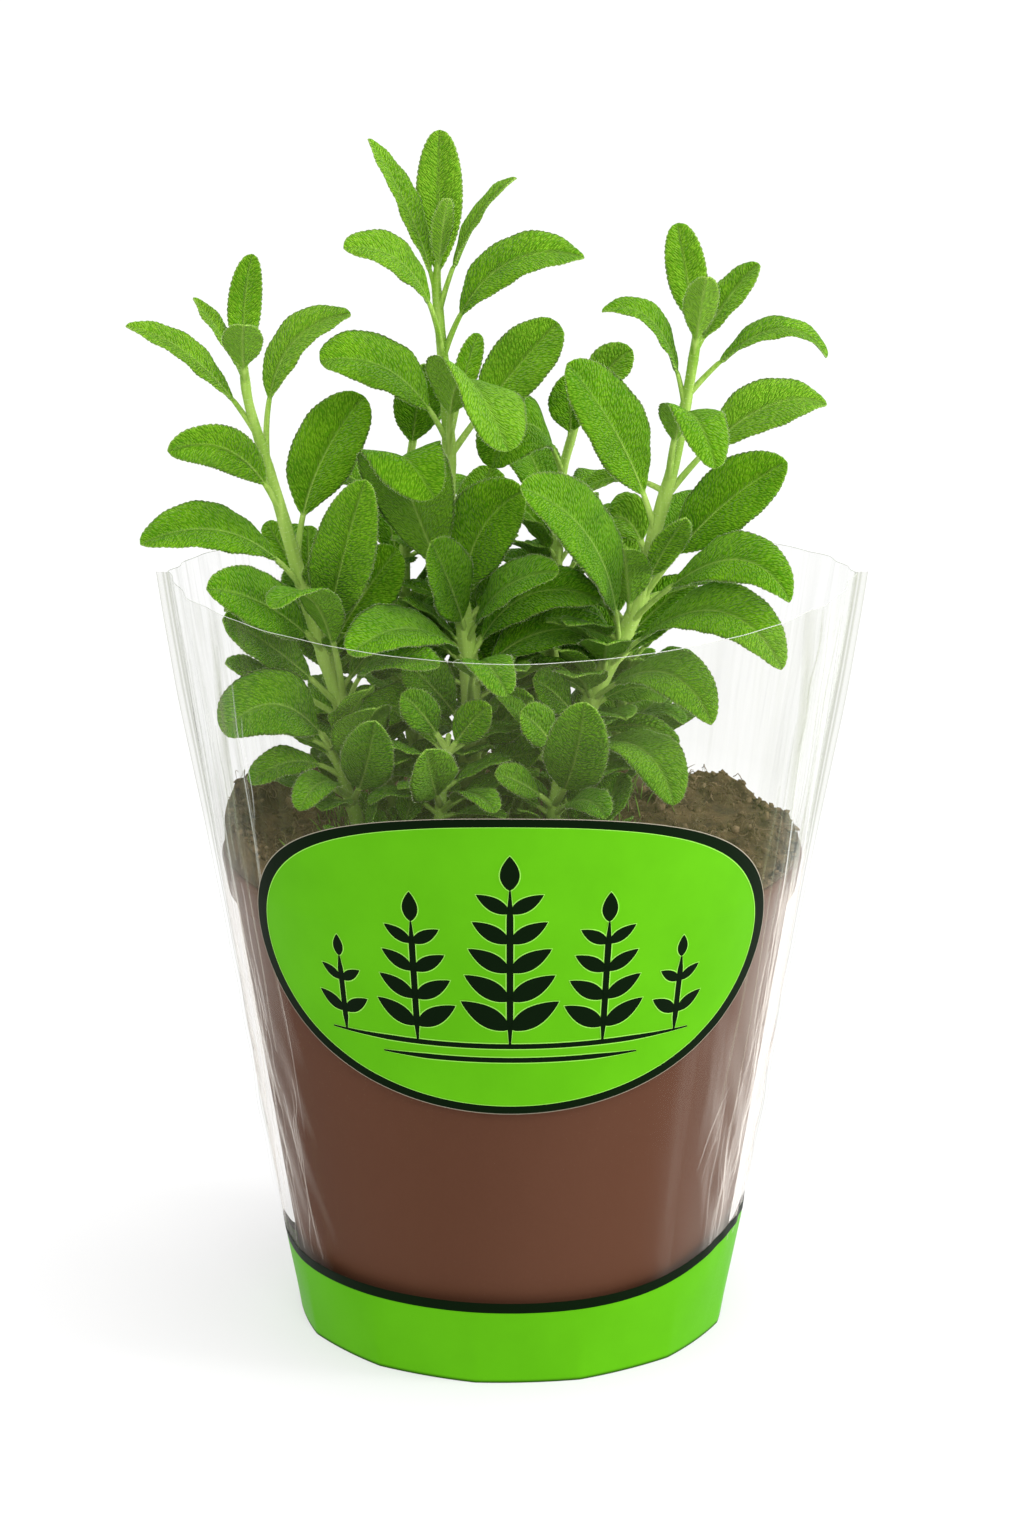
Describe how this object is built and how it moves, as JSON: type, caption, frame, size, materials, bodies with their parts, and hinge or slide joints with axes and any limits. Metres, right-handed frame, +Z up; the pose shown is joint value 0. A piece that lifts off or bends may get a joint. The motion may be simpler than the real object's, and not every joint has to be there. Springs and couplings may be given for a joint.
{
  "type": "potted sage",
  "caption": "Young sage plants with long bumpy grey-green leaves, growing in a tapered brown nursery pot that stands in a flared clear film sleeve with a printed green band and oval panel",
  "frame": {"origin": "middle of the pot's underside, on the surface that the pot stands on", "axes": "+Z up along the pot's axis, -Y towards the printed front of the sleeve, +X to the right seen from the front"},
  "size_m": [0.1743, 0.1478, 0.2912],
  "materials": {
    "pot_plastic": "satin thin moulded plastic",
    "compost": "matt, crumbly and fibrous",
    "clear_film": "glossy clear film, partly printed",
    "foliage": "matt, finely bumpy and downy"
  },
  "bodies": {
    "root": {"pot": "pot_plastic", "soil": "compost", "sleeve": "clear_film", "stem_left": "foliage", "stem_centre": "foliage", "stem_right": "foliage", "stem_back_right": "foliage", "stem_back_left": "foliage", "shoot_left": "foliage", "shoot_front": "foliage", "shoot_front_right": "foliage", "shoot_back": "foliage"}
  },
  "joints": []
}
